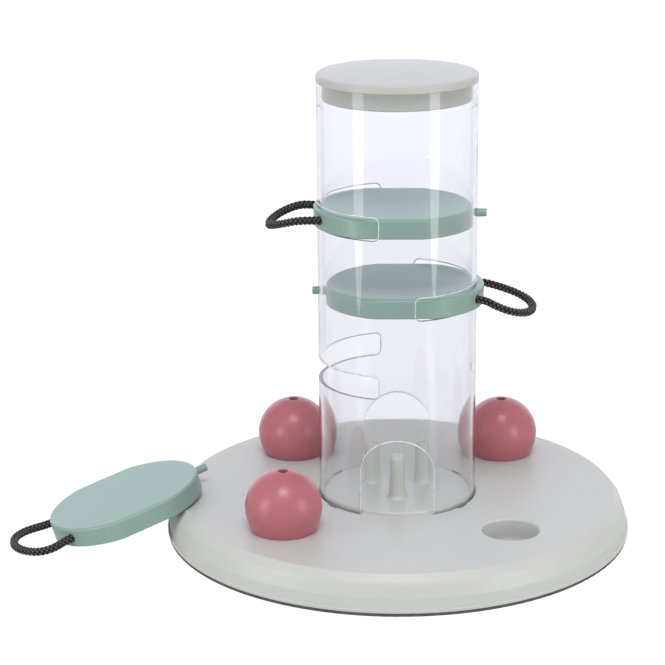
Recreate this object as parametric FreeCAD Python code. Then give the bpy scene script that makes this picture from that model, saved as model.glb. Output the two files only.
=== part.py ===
import FreeCAD, Part
import math
import os
from FreeCAD import Placement, Rotation, Vector

# Cat treat tower: a round base with four wells, a clear tube plugged into it, a lid,
# shelves that slide through slots in the tube on a cord loop, and hollow domes that
# cover the wells. The origin is on the tube's axis at the floor, +Z is up, and the
# shelves slide along X. All sizes are in millimetres and all angles in degrees.

os.makedirs("parts", exist_ok=True)

# Base moulding
BASE_D = 250.0
BASE_H = 20.0
BASE_WALL = 2.4
BASE_TOP_INSET = 7.8
BASE_SHOULDER_INSET = 4.0
BASE_SHOULDER_DROP = 4.2
BASE_SHOULDER_R = 6.0
BASE_FLANK_H = 9.0
BASE_FLANK_INSET = 1.6
BASE_LIP_H = 1.6
BASE_LIP_OUT = 0.9
BASE_LIP_R = 0.5
BASE_EDGE_R = 1.0
RIB_T = 1.8
RIB_DROP = 10.0
RIB_COUNT = 8

# Non-slip ring under the rim
PAD_H = 2.0
PAD_INSET = 0.4
PAD_TONGUE_H = 4.0
PAD_TONGUE_T = 2.4
PAD_EDGE_R = 0.4

# Clear tube
TUBE_D = 84.0
TUBE_WALL = 2.0
TUBE_LENGTH = 233.2
MOUTH_WALL = 1.5
MOUTH_DEPTH = 11.4
TUBE_EDGE_R = 0.3
ARCH_W = 39.0
ARCH_RISE = 42.0

# Socket in the base that holds the tube
SOCKET_DEPTH = 9.0
SOCKET_GAP = 0.4
SOCKET_LEAD = 0.8
SOCKET_WALL = 2.0
SOCKET_FLOOR = 2.2
SOCKET_END_GAP = 0.6
LUG_OUT = 1.6
LUG_H = 6.0
LUG_ANGLE = 53.0
LUG_SPAN = 8.4
LUG_GAP = 0.7

# Floor disc and posts inside the tube
FLOOR_RISE = 1.5
FLOOR_EDGE_R = 1.35
POST_COUNT = 3
POST_CIRCLE_R = 15.8
POST_FOOT_D = 7.7
POST_TOP_D = 6.5
POST_H = 23.5
POST_FLARE = 1.9
POST_FLARE_H = 0.3
POST_FLARE_R = 1.1
POST_TIP_R = 0.9

# Wells, and the domes that cover them
WELL_D = 29.4
WELL_DEPTH = 13.0
WELL_CIRCLE_R = 83.0
WELL_EDGE_R = 1.2
WELL_FLOOR_R = 3.0
CUP_WALL = 2.0
DOME_D = 40.2
DOME_FOOT_D = 32.6
DOME_H = 32.2
DOME_WAIST_H = 12.8
DOME_FLARE_SHARE = 0.75
DOME_SHOULDER_R_SHARE = 0.69
DOME_SHOULDER_H_SHARE = 0.72
DOME_WALL = 1.8
DOME_HOLE_D = 5.0
DOME_EDGE_R = 0.6

# Slots and shelves
SLOT_COUNT = 3
LOW_SLOT_Z = 84.2
SLOT_PITCH = 42.2
SLOT_H = 12.5
SLOT_END_X = 9.3
SLOT_CORNER_R = 3.0
SHELF_L = 83.6
SHELF_SIDE_GAP = 2.75
SHELF_H = 10.2
SHELF_WALL = 2.2
SHELF_SKIN = 1.6
SHELF_END_GAP = 0.4
SHELF_SEAT_GAP = 0.3
SHELF_LIFT = 0.5
SHELF_BLEND_R = 15.0
SHELF_EDGE_R = 1.5
SHELF_FOOT_R = 0.5
SHELF_RIB_T = 1.6
SHELF_RIB_Y = 11.0
PEG_D = 4.6
PEG_L = 7.1
PEG_TIP_D = 4.2
PEG_TIP_R = 0.5
PEG_HOLE_D = 5.4
LOWER_SHELF_PULL = 1.9

# Lid
LID_OVERHANG = 0.1
LID_RIM_H = 4.2
LID_EDGE_R = 1.3
LID_DOME = 1.4
LID_SKIN = 2.2
LID_CORNER_R = 0.8
LID_RIM_R = 0.3
PLUG_DEPTH = 9.4
PLUG_WALL = 2.0
PLUG_GAP = 1.6
PLUG_EDGE_R = 1.0

# Cord loops and their knots
CORD_D = 4.0
CORD_HOLE_D = 4.7
CORD_HOLE_Y = 17.4
KNOT_D = 6.6
KNOT_CUT = 2.6
KNOT_GAP = 0.3
KNOT_TAIL = 3.0
CORD_STRAIGHT = 7.0
ARC_SHARE = 0.45

# The loose shelf leans on the edge of the base's top with one of its ribs: where on the
# base, how far along the rib from the corded end, and which way the shelf points
LOOSE_BEARING = 184.68
LOOSE_REST_INSET = 0.14
LOOSE_REST_GAP = 0.05
LOOSE_REST_ALONG = 70.1
LOOSE_YAW = 26.6
LOOSE_PITCH = -15.0
LOOSE_ROLL = -6.1

# How far fused pieces of one moulding run into each other, and how far a cutter
# runs past what it cuts
WELD = 0.5
OVERCUT = 1.0

# Points nearer than this are one point
SAME_POINT = 1e-6

# Each loop's free points in its shelf's own frame: the shelf's middle, at its
# underside, with the cord's end towards -X
UPPER_LOOP = [
    (-49.0, -17.4, 5.0),
    (-56.0, -14.5, 3.0),
    (-61.5, -9.4, 0.8),
    (-65.1, -2.7, -0.9),
    (-65.2, 4.9, -0.6),
    (-61.9, 11.7, 1.2),
    (-56.1, 16.4, 3.4),
    (-49.0, 18.2, 5.4),
]
LOWER_LOOP = [
    (-47.6, 18.0, 1.4),
    (-55.0, 16.9, -1.8),
    (-61.8, 12.7, -3.9),
    (-66.5, 6.1, -4.7),
    (-68.2, -1.8, -4.1),
    (-66.1, -9.4, -2.7),
    (-60.8, -15.1, -0.8),
    (-53.7, -18.0, 1.2),
    (-47.8, -18.3, 3.0),
]
LOOSE_LOOP = [
    (-49.0, -18.8, 4.3),
    (-56.2, -16.7, 4.9),
    (-61.4, -11.0, 6.2),
    (-64.2, -3.6, 7.2),
    (-63.9, 4.3, 7.8),
    (-61.0, 11.6, 7.8),
    (-55.3, 16.5, 7.1),
    (-48.6, 18.1, 6.1),
]

# Sizes that follow from the ones above
BASE_R = BASE_D / 2
BASE_TOP_R = BASE_R - BASE_TOP_INSET
TUBE_R = TUBE_D / 2
BORE_R = TUBE_R - TUBE_WALL
MOUTH_R = TUBE_R - MOUTH_WALL
TUBE_Z = BASE_H - SOCKET_DEPTH
TUBE_TOP = TUBE_Z + TUBE_LENGTH
SOCKET_IN_R = BORE_R - SOCKET_GAP
SOCKET_OUT_R = TUBE_R + SOCKET_GAP
LUG_R = TUBE_R + LUG_OUT
NOTCH_R = LUG_R + LUG_GAP
BOSS_R = NOTCH_R + SOCKET_WALL
FLOOR_Z = BASE_H + FLOOR_RISE
WELL_XY = WELL_CIRCLE_R / math.sqrt(2)
LID_D = TUBE_D + 2 * LID_OVERHANG
SHELF_W = 2 * (BORE_R - SHELF_SIDE_GAP)
SHELF_END_R = BORE_R - SHELF_END_GAP
SHELF_MID = SHELF_H / 2
SHELF_X = BORE_R - SHELF_SEAT_GAP - SHELF_L / 2
SLOT_SIDES = [1 if i % 2 else -1 for i in range(SLOT_COUNT)]
SLOT_Z = [LOW_SLOT_Z + SLOT_PITCH * i for i in range(SLOT_COUNT)]
COVERED_WELLS = {"front_left": (-1, -1), "back_left": (-1, 1), "back_right": (1, 1)}
ALL_WELLS = [(-1, -1), (-1, 1), (1, 1), (1, -1)]


def save(shape, name):
    """Check a node's solids and write its STEP file."""
    assert shape.isValid(), name
    assert shape.Solids, name
    shape.exportStep("parts/" + name + ".step")
    print(name, "solids", len(shape.Solids), "volume", round(shape.Volume, 1))


def one_solid(shape):
    """Clean up a boolean result and unwrap its single solid."""
    shape = shape.removeSplitter()
    assert len(shape.Solids) == 1, len(shape.Solids)
    return shape.Solids[0]


def rounded(corner, before, after, radius):
    """Points where a round corner starts, its middle and its end, in two dimensions."""
    unit_in = (before - corner).normalize()
    unit_out = (after - corner).normalize()
    half = unit_in.getAngle(unit_out) / 2
    reach = radius / math.tan(half)
    centre = corner + (unit_in + unit_out).normalize() * (radius / math.sin(half))
    middle = centre + (corner - centre).normalize() * radius
    return corner + unit_in * reach, middle, corner + unit_out * reach


def outline(corners):
    """A closed wire through corners, each a point with the radius that rounds it."""
    points = [Vector(*c[0]) for c in corners]
    count = len(points)
    edges = []
    last = None
    first = None
    for i, (_, radius) in enumerate(corners):
        if radius:
            start, middle, end = rounded(points[i], points[i - 1], points[(i + 1) % count], radius)
        else:
            start = middle = end = points[i]
        if last is None:
            first = start
        elif last.distanceToPoint(start) > SAME_POINT:
            edges.append(Part.LineSegment(last, start).toShape())
        if radius:
            edges.append(Part.Arc(start, middle, end).toShape())
        last = end
    edges.append(Part.LineSegment(last, first).toShape())
    return Part.Wire(edges)


def turned(corners):
    """A solid turned about Z from (radius, height, corner radius) points."""
    wire = outline([((r, 0, z), radius) for r, z, radius in corners])
    return Part.Face(wire).revolve(Vector(0, 0, 0), Vector(0, 0, 1), 360)


def sector(inner_r, outer_r, low_z, high_z, middle_angle, span):
    """Part of a ring, between two angles about Z."""
    blank = Part.makeCylinder(outer_r, high_z - low_z, Vector(0, 0, low_z), Vector(0, 0, 1), span)
    blank.rotate(Vector(0, 0, 0), Vector(0, 0, 1), middle_angle - span / 2)
    return blank.cut(Part.makeCylinder(inner_r, high_z - low_z, Vector(0, 0, low_z)))


def block(low, high):
    """A box between two corners."""
    size = Vector(*high) - Vector(*low)
    return Part.makeBox(size.x, size.y, size.z, Vector(*low))


def lug_angles():
    """The tube's four lugs sit either side of the arches."""
    return [-90 - LUG_ANGLE, -90 + LUG_ANGLE, 90 - LUG_ANGLE, 90 + LUG_ANGLE]


def wall_inner_r(height):
    """Inner radius of the base's wall, which leans inwards as it rises to the flank's top."""
    lean = (BASE_FLANK_INSET - BASE_LIP_OUT) * (height - PAD_H) / (BASE_FLANK_H - PAD_H)
    return BASE_R - BASE_LIP_OUT - BASE_WALL - lean


def base_outside():
    """Corners of the base's outer section: lip, steep flank, round shoulder and flat top."""
    return [
        (0, PAD_H, 0),
        (BASE_R, PAD_H, 0),
        (BASE_R, PAD_H + BASE_LIP_H, BASE_LIP_R),
        (BASE_R - BASE_LIP_OUT, PAD_H + BASE_LIP_H, 0),
        (BASE_R - BASE_FLANK_INSET, BASE_FLANK_H, BASE_FLANK_H / 2),
        (BASE_R - BASE_SHOULDER_INSET, BASE_H - BASE_SHOULDER_DROP, BASE_SHOULDER_R),
        (BASE_TOP_R, BASE_H, BASE_EDGE_R),
        (0, BASE_H, 0),
    ]


def base_inside():
    """Corners of the hollow under the base, one wall inside its outer section."""
    low = PAD_H - OVERCUT
    ceiling = BASE_H - BASE_WALL
    shoulder_r = BASE_R - BASE_SHOULDER_INSET - BASE_WALL
    shoulder_z = BASE_H - BASE_SHOULDER_DROP - BASE_WALL / 2
    return [
        (0, low, 0),
        (wall_inner_r(low), low, 0),
        (wall_inner_r(BASE_FLANK_H), BASE_FLANK_H, 0),
        (shoulder_r, shoulder_z, 0),
        (BASE_TOP_R - BASE_WALL, ceiling, 0),
        (0, ceiling, 0),
    ]


def post():
    """One tapered post with a flared foot and a rounded tip, standing on the origin."""
    foot_r = POST_FOOT_D / 2
    return turned([
        (0, 0, 0),
        (foot_r + POST_FLARE, 0, 0),
        (foot_r, POST_FLARE_H, POST_FLARE_R),
        (POST_TOP_D / 2, POST_H, POST_TIP_R),
        (0, POST_H, 0),
    ])


def well_place(corner):
    """Middle of one of the four wells, at floor level."""
    return Vector(corner[0] * WELL_XY, corner[1] * WELL_XY, 0)


def well_cups(weld_z):
    """The cups that hang under the top and hold the wells."""
    radius = WELL_D / 2 + CUP_WALL
    low = BASE_H - WELL_DEPTH - CUP_WALL
    cup = Part.makeCylinder(radius, weld_z - low, Vector(0, 0, low))
    return [cup.translated(well_place(corner)) for corner in ALL_WELLS]


def well_hollow(corner):
    """The round recess of one well, with a soft edge and a rounded floor."""
    lip_r = WELL_D / 2 + WELL_EDGE_R
    hollow = turned([
        (0, BASE_H - WELL_DEPTH, 0),
        (WELL_D / 2, BASE_H - WELL_DEPTH, WELL_FLOOR_R),
        (WELL_D / 2, BASE_H, WELL_EDGE_R),
        (lip_r, BASE_H, 0),
        (lip_r, BASE_H + OVERCUT, 0),
        (0, BASE_H + OVERCUT, 0),
    ])
    return hollow.translated(well_place(corner))


def socket_boss(weld_z):
    """The ring under the top that the tube's socket is cut into."""
    low = TUBE_Z - SOCKET_FLOOR
    boss = Part.makeCylinder(BOSS_R, weld_z - low, Vector(0, 0, low))
    hollow_h = BASE_H - BASE_WALL - low
    return boss.cut(Part.makeCylinder(SOCKET_IN_R - SOCKET_WALL, hollow_h, Vector(0, 0, low)))


def socket_groove():
    """The two curved grooves that take the tube's legs, with notches for its lugs."""
    top = FLOOR_Z + OVERCUT
    groove = turned([
        (SOCKET_IN_R, TUBE_Z, 0),
        (SOCKET_OUT_R, TUBE_Z, 0),
        (SOCKET_OUT_R, BASE_H - SOCKET_LEAD, 0),
        (SOCKET_OUT_R + SOCKET_LEAD, BASE_H, 0),
        (SOCKET_OUT_R + SOCKET_LEAD, top, 0),
        (SOCKET_IN_R, top, 0),
    ])
    notch_span = LUG_SPAN + math.degrees(2 * LUG_GAP / LUG_R)
    for angle in lug_angles():
        groove = groove.fuse(sector(BORE_R, NOTCH_R, TUBE_Z, top, angle, notch_span))
    land = ARCH_W / 2 - SOCKET_END_GAP
    return groove.cut(block((-land, -BASE_R, 0), (land, BASE_R, top + OVERCUT)))


def base_ribs(outer, weld_z):
    """Ribs under the top, from the socket's ring out to the wall."""
    low = BASE_H - BASE_WALL - RIB_DROP
    ribs = []
    for i in range(RIB_COUNT):
        rib = block((BOSS_R - WELD, -RIB_T / 2, low), (BASE_R, RIB_T / 2, weld_z))
        rib.rotate(Vector(0, 0, 0), Vector(0, 0, 1), 360 / RIB_COUNT * i)
        ribs.append(rib.common(outer))
    return ribs


def posts():
    """The posts on the floor disc, the first one towards the front."""
    places = []
    for i in range(POST_COUNT):
        angle = math.radians(-90 + 360 / POST_COUNT * i)
        x = POST_CIRCLE_R * math.cos(angle)
        y = POST_CIRCLE_R * math.sin(angle)
        places.append(Vector(x, y, FLOOR_Z))
    return [post().translated(place) for place in places]


def make_base():
    """The whole base moulding: skin, well cups, tube socket, floor disc, posts and ribs."""
    outer = turned(base_outside())
    ceiling = BASE_H - BASE_WALL
    weld_z = ceiling + WELD
    disc = turned([
        (0, ceiling, 0),
        (SOCKET_IN_R, ceiling, 0),
        (SOCKET_IN_R, FLOOR_Z, FLOOR_EDGE_R),
        (0, FLOOR_Z, 0),
    ])
    body = outer.cut(turned(base_inside()))
    body = body.multiFuse(well_cups(weld_z) + [socket_boss(weld_z), disc] + base_ribs(outer, weld_z))
    body = body.cut(socket_groove())
    for corner in ALL_WELLS:
        body = body.cut(well_hollow(corner))
    return one_solid(body.multiFuse(posts()))


def make_pad_ring():
    """The soft ring under the rim, with a tongue that lines the inside of the wall."""
    tongue_top = PAD_H + PAD_TONGUE_H
    out_r = BASE_R - PAD_INSET
    in_r = wall_inner_r(tongue_top) - PAD_TONGUE_T
    return one_solid(turned([
        (in_r, 0, PAD_EDGE_R),
        (out_r, 0, PAD_EDGE_R),
        (out_r, PAD_H, 0),
        (wall_inner_r(PAD_H), PAD_H, 0),
        (wall_inner_r(tongue_top), tongue_top, 0),
        (in_r, tongue_top, 0),
    ]))


def slot_cutter(side, low_z):
    """A slot's hollow: open towards one side, round-cornered at its blind end."""
    far = TUBE_D
    near = -SLOT_END_X
    wire = outline([
        ((-far, 0, low_z), 0),
        ((near, 0, low_z), SLOT_CORNER_R),
        ((near, 0, low_z + SLOT_H), SLOT_CORNER_R),
        ((-far, 0, low_z + SLOT_H), 0),
    ])
    cutter = Part.Face(wire).extrude(Vector(0, TUBE_D, 0)).translated(Vector(0, -TUBE_D / 2, 0))
    if side > 0:
        cutter.rotate(Vector(0, 0, 0), Vector(0, 0, 1), 180)
    return cutter


def make_tube():
    """The clear tube: arches at its foot, a slot and a peg hole for each shelf."""
    ledge_z = TUBE_TOP - MOUTH_DEPTH
    body = turned([
        (BORE_R, TUBE_Z, 0),
        (TUBE_R, TUBE_Z, 0),
        (TUBE_R, TUBE_TOP, TUBE_EDGE_R),
        (MOUTH_R, TUBE_TOP, TUBE_EDGE_R),
        (MOUTH_R, ledge_z, 0),
        (BORE_R, ledge_z - (MOUTH_R - BORE_R), 0),
    ])
    arch_r = ARCH_W / 2
    arch_top = BASE_H + ARCH_RISE
    arch_z = arch_top - arch_r
    passage = Part.makeCylinder(arch_r, TUBE_D, Vector(0, -TUBE_D / 2, arch_z), Vector(0, 1, 0))
    passage = passage.fuse(block((-arch_r, -TUBE_D / 2, 0), (arch_r, TUBE_D / 2, arch_z)))
    body = body.cut(passage)
    for side, low_z in zip(SLOT_SIDES, SLOT_Z):
        body = body.cut(slot_cutter(side, low_z))
        peg_z = low_z + SHELF_LIFT + SHELF_MID
        hole = Part.makeCylinder(PEG_HOLE_D / 2, TUBE_R, Vector(0, 0, peg_z), Vector(-side, 0, 0))
        body = body.cut(hole)
    lug_in = TUBE_R - TUBE_WALL / 2
    for angle in lug_angles():
        body = body.fuse(sector(lug_in, LUG_R, TUBE_Z, TUBE_Z + LUG_H, angle, LUG_SPAN))
    return one_solid(body)


def make_lid():
    """The lid: a thin slightly domed cap over a hollow plug."""
    plug_r = MOUTH_R - PLUG_GAP
    plug_in = plug_r - PLUG_WALL
    plug_low = TUBE_TOP - PLUG_DEPTH
    rim_r = LID_D / 2
    rim_top = TUBE_TOP + LID_RIM_H
    under = rim_top - LID_SKIN
    body = turned([
        (0, under, 0),
        (plug_in, under, LID_CORNER_R),
        (plug_in, plug_low, LID_RIM_R),
        (plug_r, plug_low, PLUG_EDGE_R),
        (plug_r, TUBE_TOP, 0),
        (rim_r, TUBE_TOP, LID_RIM_R),
        (rim_r, rim_top, LID_EDGE_R),
        (0, rim_top, 0),
    ])
    crown_r = rim_r - LID_EDGE_R
    ball_r = (crown_r ** 2 + LID_DOME ** 2) / (2 * LID_DOME)
    ball = Part.makeSphere(ball_r, Vector(0, 0, rim_top + LID_DOME - ball_r))
    column = Part.makeCylinder(crown_r, LID_DOME + 2 * WELD, Vector(0, 0, rim_top - WELD))
    return one_solid(body.fuse(ball.common(column)))


def shelf_wire(inset):
    """The shelf's plan, moved inwards: round ends blended into straight sides."""
    half_w = SHELF_W / 2 - inset
    end_r = SHELF_END_R - inset
    blend_r = SHELF_BLEND_R - inset
    centre_x = SHELF_L / 2 - SHELF_END_R
    blend_y = half_w - blend_r
    blend_x = centre_x + math.sqrt((end_r - blend_r) ** 2 - blend_y ** 2)
    meet = math.atan2(blend_y, blend_x - centre_x)
    lean = (meet + math.pi / 2) / 2

    def on(x, y, radius, angle):
        return Vector(x + radius * math.cos(angle), y + radius * math.sin(angle), 0)

    edges = []
    for turn in (0, math.pi):
        flip = math.cos(turn)
        low = on(flip * centre_x, 0, end_r, turn - meet)
        tip = on(flip * centre_x, 0, end_r, turn)
        high = on(flip * centre_x, 0, end_r, turn + meet)
        edges.append(Part.Arc(low, tip, high).toShape())
        near_middle = on(flip * blend_x, flip * blend_y, blend_r, turn + lean)
        near_side = Vector(flip * blend_x, flip * half_w, 0)
        edges.append(Part.Arc(high, near_middle, near_side).toShape())
        far_side = Vector(-flip * blend_x, flip * half_w, 0)
        edges.append(Part.LineSegment(near_side, far_side).toShape())
        far_middle = on(-flip * blend_x, flip * blend_y, blend_r, turn + math.pi - lean)
        far_end = on(-flip * centre_x, 0, end_r, turn + math.pi - meet)
        edges.append(Part.Arc(far_side, far_middle, far_end).toShape())
    return Part.Wire(Part.__sortEdges__(edges))


def edges_at(shape, height):
    """The edges that lie flat at one height."""
    found = []
    for edge in shape.Edges:
        box = edge.BoundBox
        if abs(box.ZMin - height) < SAME_POINT and abs(box.ZMax - height) < SAME_POINT:
            found.append(edge)
    return found


def shelf_peg():
    """The round peg on the shelf's inner end, rooted in the end wall."""
    root = Vector(SHELF_L / 2 - SHELF_WALL, 0, SHELF_MID)
    length = SHELF_WALL + PEG_L
    peg = Part.makeCone(PEG_D / 2, PEG_TIP_D / 2, length, root, Vector(1, 0, 0))
    tip_x = root.x + length
    tip = [edge for edge in peg.Edges if abs(edge.BoundBox.XMin - tip_x) < SAME_POINT]
    return peg.makeFillet(PEG_TIP_R, tip)


def make_shelf():
    """One shelf in its own frame: a tray turned over, with two ribs and a peg on its inner end."""
    body = Part.Face(shelf_wire(0)).extrude(Vector(0, 0, SHELF_H))
    body = body.makeFillet(SHELF_EDGE_R, edges_at(body, SHELF_H))
    body = body.makeFillet(SHELF_FOOT_R, edges_at(body, 0))
    ceiling = SHELF_H - SHELF_SKIN
    hollow = Part.Face(shelf_wire(SHELF_WALL)).extrude(Vector(0, 0, ceiling))
    half_l = SHELF_L / 2
    half_t = SHELF_RIB_T / 2
    for y in (-SHELF_RIB_Y, SHELF_RIB_Y):
        hollow = hollow.cut(block((-half_l, y - half_t, 0), (half_l, y + half_t, ceiling)))
    body = body.cut(hollow)
    for y in (-CORD_HOLE_Y, CORD_HOLE_Y):
        start = Vector(-half_l - OVERCUT, y, SHELF_MID)
        length = knot_x() - start.x
        body = body.cut(Part.makeCylinder(CORD_HOLE_D / 2, length, start, Vector(1, 0, 0)))
    return one_solid(body.fuse(shelf_peg()))


def knot_x():
    """The knot's middle: as far out as the curved end wall lets its round body go."""
    wall_r = SHELF_END_R - SHELF_WALL
    reach = wall_r - KNOT_D / 2 - KNOT_GAP
    centre_x = SHELF_L / 2 - SHELF_END_R
    return -centre_x - math.sqrt(reach ** 2 - CORD_HOLE_Y ** 2)


def knot():
    """One knot about the X axis, flattened towards its wall and its short tail."""
    face_r = math.sqrt((KNOT_D / 2) ** 2 - KNOT_CUT ** 2)
    tail_x = KNOT_CUT + KNOT_TAIL
    wall_side = Vector(-KNOT_CUT, face_r, 0)
    tail_side = Vector(KNOT_CUT, face_r, 0)
    corners = [
        tail_side,
        Vector(KNOT_CUT, CORD_D / 2, 0),
        Vector(tail_x, CORD_D / 2, 0),
        Vector(tail_x, 0, 0),
        Vector(-KNOT_CUT, 0, 0),
        wall_side,
    ]
    edges = [Part.Arc(wall_side, Vector(0, KNOT_D / 2, 0), tail_side).toShape()]
    edges += [Part.LineSegment(a, b).toShape() for a, b in zip(corners, corners[1:])]
    return Part.Face(Part.Wire(edges)).revolve(Vector(0, 0, 0), Vector(1, 0, 0), 360)


def make_knots():
    """The two knots that keep a cord loop in its shelf, each with its short tail."""
    knots = []
    for y in (-CORD_HOLE_Y, CORD_HOLE_Y):
        knots.append(knot().translated(Vector(knot_x(), y, SHELF_MID)))
    return Part.makeCompound(knots)


def cord_route(loop):
    """A loop's whole route: straight out of each knot, then through the loop's points."""
    knot_face = knot_x() - KNOT_CUT
    mouth = knot_face - CORD_STRAIGHT
    first_y = math.copysign(CORD_HOLE_Y, loop[0][1])
    way_out = [Vector(knot_face, first_y, SHELF_MID), Vector(mouth, first_y, SHELF_MID)]
    way_in = [Vector(mouth, -first_y, SHELF_MID), Vector(knot_face, -first_y, SHELF_MID)]
    return way_out + [Vector(*point) for point in loop] + way_in


def make_cord(loop, name):
    """A cord's solid: straight runs joined by the largest tangent arcs they allow."""
    points = cord_route(loop)
    edges = []
    radii = []
    last = points[0]
    for before, corner, after in zip(points, points[1:], points[2:]):
        run_in = before - corner
        run_out = after - corner
        turn = math.pi - run_in.getAngle(run_out)
        radius = ARC_SHARE * min(run_in.Length, run_out.Length) / math.tan(turn / 2)
        start, middle, end = rounded(corner, before, after, radius)
        edges.append(Part.LineSegment(last, start).toShape())
        edges.append(Part.Arc(start, middle, end).toShape())
        radii.append(radius)
        last = end
    edges.append(Part.LineSegment(last, points[-1]).toShape())
    path = Part.Wire(edges)
    section = Part.Wire(Part.Circle(points[0], Vector(1, 0, 0), CORD_D / 2).toShape())
    solid = path.makePipeShell([section], True, False).Solids[0]
    straight = math.pi * (CORD_D / 2) ** 2 * path.Length
    print(name, "length", round(path.Length, 1), "radii", [round(r, 1) for r in radii])
    print(name, "volume over section times length", round(solid.Volume / straight, 4))
    return solid


def dome_body(inset):
    """The dome's outer form moved inwards, as a solid on the origin."""
    foot_r = DOME_FOOT_D / 2 - inset
    waist_r = DOME_D / 2 - inset
    rise = DOME_H - inset - DOME_WAIST_H
    middle = Vector(0, 0, 0)
    foot = Vector(foot_r, 0, 0)
    flare = Vector(foot_r + (waist_r - foot_r) * DOME_FLARE_SHARE, 0, DOME_WAIST_H / 2)
    waist = Vector(waist_r, 0, DOME_WAIST_H)
    shoulder_z = DOME_WAIST_H + rise * DOME_SHOULDER_H_SHARE
    shoulder = Vector(waist_r * DOME_SHOULDER_R_SHARE, 0, shoulder_z)
    crown = Vector(0, 0, DOME_WAIST_H + rise)
    section = Part.Wire([
        Part.LineSegment(middle, foot).toShape(),
        Part.Arc(foot, flare, waist).toShape(),
        Part.Arc(waist, shoulder, crown).toShape(),
        Part.LineSegment(crown, middle).toShape(),
    ])
    return Part.Face(section).revolve(middle, Vector(0, 0, 1), 360)


def make_dome():
    """A hollow dome with a soft-edged hole in its top, standing on the origin."""
    hole_r = DOME_HOLE_D / 2
    body = dome_body(0).cut(dome_body(DOME_WALL))
    body = body.cut(Part.makeCylinder(hole_r, DOME_H + OVERCUT))
    rim = []
    for edge in body.Edges:
        box = edge.BoundBox
        if box.ZMin > DOME_H - DOME_WALL / 2 and abs(box.XMax - hole_r) < DOME_EDGE_R / 2:
            rim.append(edge)
    return one_solid(body.makeFillet(DOME_EDGE_R, rim))


def loose_place():
    """Where the loose shelf lies: its corded end on the floor, its peg end on the base."""
    turn = Rotation(Vector(0, 0, 1), LOOSE_YAW)
    turn = turn.multiply(Rotation(Vector(0, 1, 0), LOOSE_PITCH))
    turn = turn.multiply(Rotation(Vector(1, 0, 0), LOOSE_ROLL))
    bearing = math.radians(LOOSE_BEARING)
    edge_r = BASE_TOP_R - LOOSE_REST_INSET
    edge_z = BASE_H + LOOSE_REST_GAP
    edge = Vector(edge_r * math.cos(bearing), edge_r * math.sin(bearing), edge_z)
    rib_y = -SHELF_RIB_Y + SHELF_RIB_T / 2
    rib_point = Vector(LOOSE_REST_ALONG - SHELF_L / 2, rib_y, 0)
    place = Placement(edge - turn.multVec(rib_point), turn)
    print("loose shelf at", [round(value, 2) for value in place.Base])
    return place


def shelf_places():
    """Each shelf's place and its cord's points."""
    upright = Rotation(Vector(0, 0, 1), 0)
    turned_round = Rotation(Vector(0, 0, 1), 180)
    upper = Placement(Vector(SHELF_X, 0, SLOT_Z[2] + SHELF_LIFT), upright)
    lower = Placement(Vector(-SHELF_X + LOWER_SHELF_PULL, 0, SLOT_Z[1] + SHELF_LIFT), turned_round)
    return {
        "upper": (upper, UPPER_LOOP),
        "lower": (lower, LOWER_LOOP),
        "loose": (loose_place(), LOOSE_LOOP),
    }


def placed(shape, placement):
    """A copy of a shape, moved to its place."""
    copy = shape.copy()
    copy.Placement = placement.multiply(copy.Placement)
    return copy


def build():
    """Make every node and write it."""
    save(make_base(), "base")
    save(make_pad_ring(), "non_slip_ring")
    save(make_tube(), "clear_tube")
    save(make_lid(), "lid")
    shelf = make_shelf()
    knots = make_knots()
    for name, (placement, loop) in shelf_places().items():
        save(placed(shelf, placement), name + "_shelf")
        save(placed(knots, placement), name + "_knots")
        save(placed(make_cord(loop, name), placement), name + "_cord")
    for name, corner in COVERED_WELLS.items():
        dome = make_dome().translated(well_place(corner) + Vector(0, 0, BASE_H))
        save(dome, "dome_" + name)


build()
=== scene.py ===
# %% [markdown]
# # Dressing a cat treat tower
#
# The tower is a wide round base with four wells, a clear tube that stands in its
# middle under a lid, shelves that slide through slots in the tube and are pulled out
# by knitted cord loops, and small domes that hide treats in the wells. A solid model
# of it already exists. This lesson loads that model, gives every piece the surface it
# has on the real object, and knits the cords, whose plain tubes only stand in for them.

import math

import bmesh
import bpy
from mathutils import Matrix, Vector


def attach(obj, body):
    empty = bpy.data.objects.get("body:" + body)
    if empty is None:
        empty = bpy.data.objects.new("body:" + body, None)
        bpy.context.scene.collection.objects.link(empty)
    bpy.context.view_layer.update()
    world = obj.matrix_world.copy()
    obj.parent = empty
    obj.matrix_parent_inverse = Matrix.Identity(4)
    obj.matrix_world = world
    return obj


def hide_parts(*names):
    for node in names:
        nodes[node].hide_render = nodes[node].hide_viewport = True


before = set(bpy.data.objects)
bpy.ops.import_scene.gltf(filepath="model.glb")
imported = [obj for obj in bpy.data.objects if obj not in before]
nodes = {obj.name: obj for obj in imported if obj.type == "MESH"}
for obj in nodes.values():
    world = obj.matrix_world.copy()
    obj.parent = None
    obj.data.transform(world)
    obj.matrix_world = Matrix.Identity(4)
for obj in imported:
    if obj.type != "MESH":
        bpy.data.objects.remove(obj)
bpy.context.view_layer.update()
MM = 0.001
print("pieces in the solid model:", sorted(nodes))

# %% [markdown]
# ## The camera
#
# The photograph was taken from about a metre away with a long lens, a little above the
# lid. A camera looks along its own -Z, so its three axes are worked out from the view
# direction and written as the columns of a matrix. Cords come right after it, because
# how far they reach in this view is measured when the scene is finished.

# %% Place the camera
CAMERA_PLACE = Vector((0.00079, -1.09288, 0.43754))
CAMERA_YAW = math.radians(1.8468)
CAMERA_DIP = math.radians(16.7429)
CAMERA_ROLL = math.radians(-0.5292)
CAMERA_LENS = 115.995


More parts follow.
